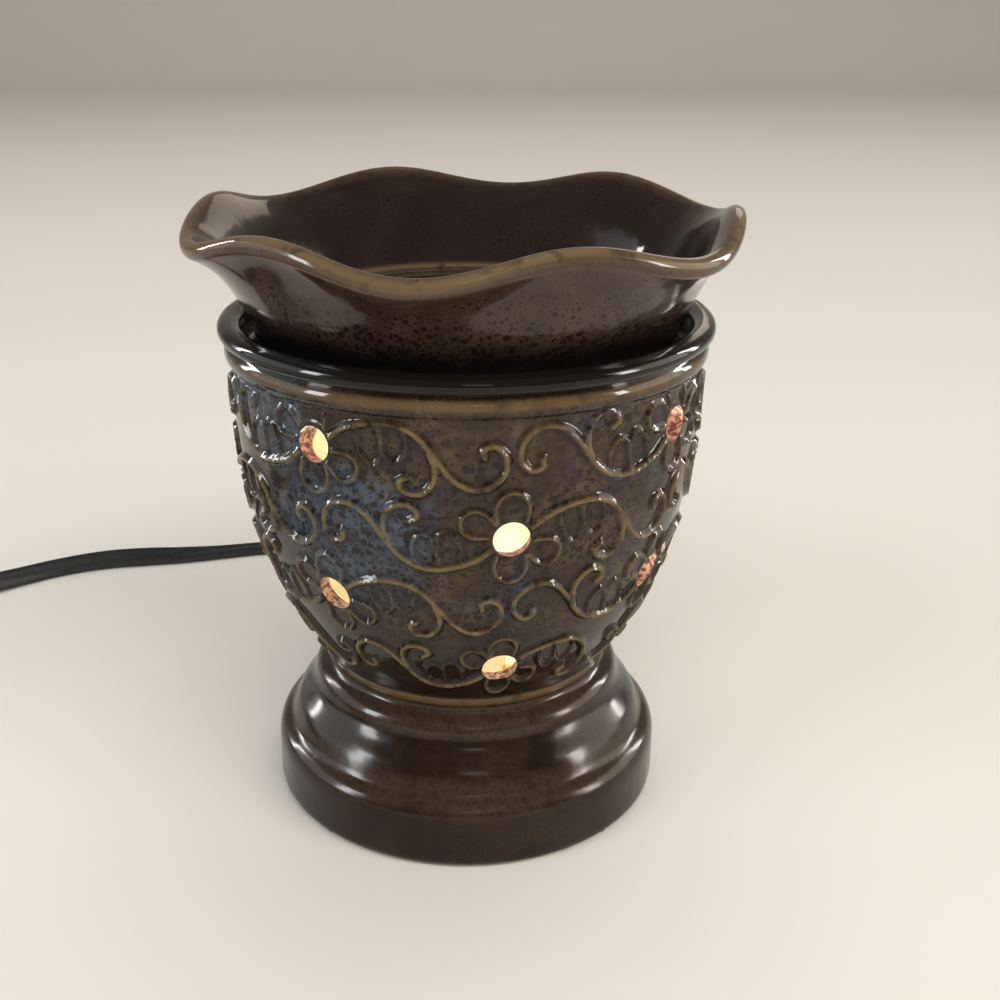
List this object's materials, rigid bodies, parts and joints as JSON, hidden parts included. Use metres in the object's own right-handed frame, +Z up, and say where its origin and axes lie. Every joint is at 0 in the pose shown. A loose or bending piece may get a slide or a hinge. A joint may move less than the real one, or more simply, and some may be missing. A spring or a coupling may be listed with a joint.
{
  "type": "electric wax warmer",
  "caption": "Footed ceramic lantern with light holes and scroll relief; a bulb inside warms the lobed wax dish resting on its lip; flat lead with inline switch and plug.",
  "frame": {"origin": "centre of the foot on the table", "axes": "+Z up through the bowl and dish, -Y the pictured front, +Y the side where the lead leaves"},
  "size_m": [0.3094, 0.2348, 0.1528],
  "materials": {
    "glaze_body": "glossy reactive glaze, dark brown with blue-grey breaks",
    "glaze_dish": "glossy reactive glaze, warm brown with dark speckles",
    "pad_rubber": "matt",
    "steel": "zinc plated sheet",
    "zinc": "zinc plated fastener",
    "nylon": "natural nylon",
    "porcelain": "white glazed porcelain",
    "brass": "stamped sheet",
    "frosted_glass": "frosted bulb glass, lit from inside",
    "stem_glass": "clear stem glass",
    "cap_metal": "nickelled rolled thread",
    "black_glass": "vitrite",
    "solder": "soldered tip",
    "tungsten": "glowing coiled wire",
    "cord_black": "satin black flexible PVC",
    "lead_black": "insulated wire",
    "lead_ribbed": "insulated wire with a marked side",
    "switch_black": "fine textured moulding",
    "wheel_black": "moulded thumb wheel",
    "plug_black": "moulded PVC"
  },
  "bodies": {
    "base": {"body_shell": "glaze_body", "foot_pads": "pad_rubber", "base_plate": "steel", "base_plate_screws": "zinc", "screw_plugs": "nylon", "socket_bracket": "steel", "bracket_rivets": "zinc", "socket_body": "porcelain", "socket_screws": "zinc", "socket_screw_shell": "brass", "socket_center_contact": "brass", "socket_terminals": "brass", "terminal_screws": "brass", "strain_relief": "cord_black", "lead_live": "lead_black", "lead_neutral": "lead_ribbed", "cord_to_switch": "cord_black", "switch_housing_lower": "switch_black", "switch_housing_upper": "switch_black", "switch_axle": "steel", "switch_contacts": "brass", "switch_screws": "zinc", "cord_to_coil": "cord_black", "cord_coil": "cord_black", "cord_tie": "cord_black", "cord_to_plug": "cord_black", "plug_body": "plug_black", "plug_blades": "brass"},
    "dish": {"wax_dish": "glaze_dish"},
    "bulb_carrier": {"bulb_tip_contact": "solder"},
    "bulb": {"bulb_glass": "frosted_glass", "bulb_cap": "cap_metal", "bulb_cap_insulator": "black_glass", "bulb_stem": "stem_glass", "filament_wires": "zinc", "filament": "tungsten"},
    "switch_wheel": {"switch_wheel": "wheel_black"}
  },
  "joints": [
    {"name": "dish_lift", "type": "slide", "parent": "base", "child": "dish", "axis": [0, 0, 1], "range_m": [0, 0.06]},
    {"name": "bulb_lift", "type": "slide", "parent": "base", "child": "bulb_carrier", "axis": [0, 0, 1], "range_m": [0, 0.0102]},
    {"name": "bulb_turn", "type": "hinge", "parent": "bulb_carrier", "child": "bulb", "pos_m": [0, 0, 0.03], "axis": [0, 0, 1], "range_deg": [0, 1440]},
    {"name": "switch_turn", "type": "hinge", "parent": "base", "child": "switch_wheel", "pos_m": [-0.182, 0.049, 0.007], "axis": [0, 0, 1], "continuous": true}
  ],
  "couplings": [
    {"joint": "bulb_lift", "follows": "bulb_turn", "m_per_rad": 0.00040425}
  ]
}
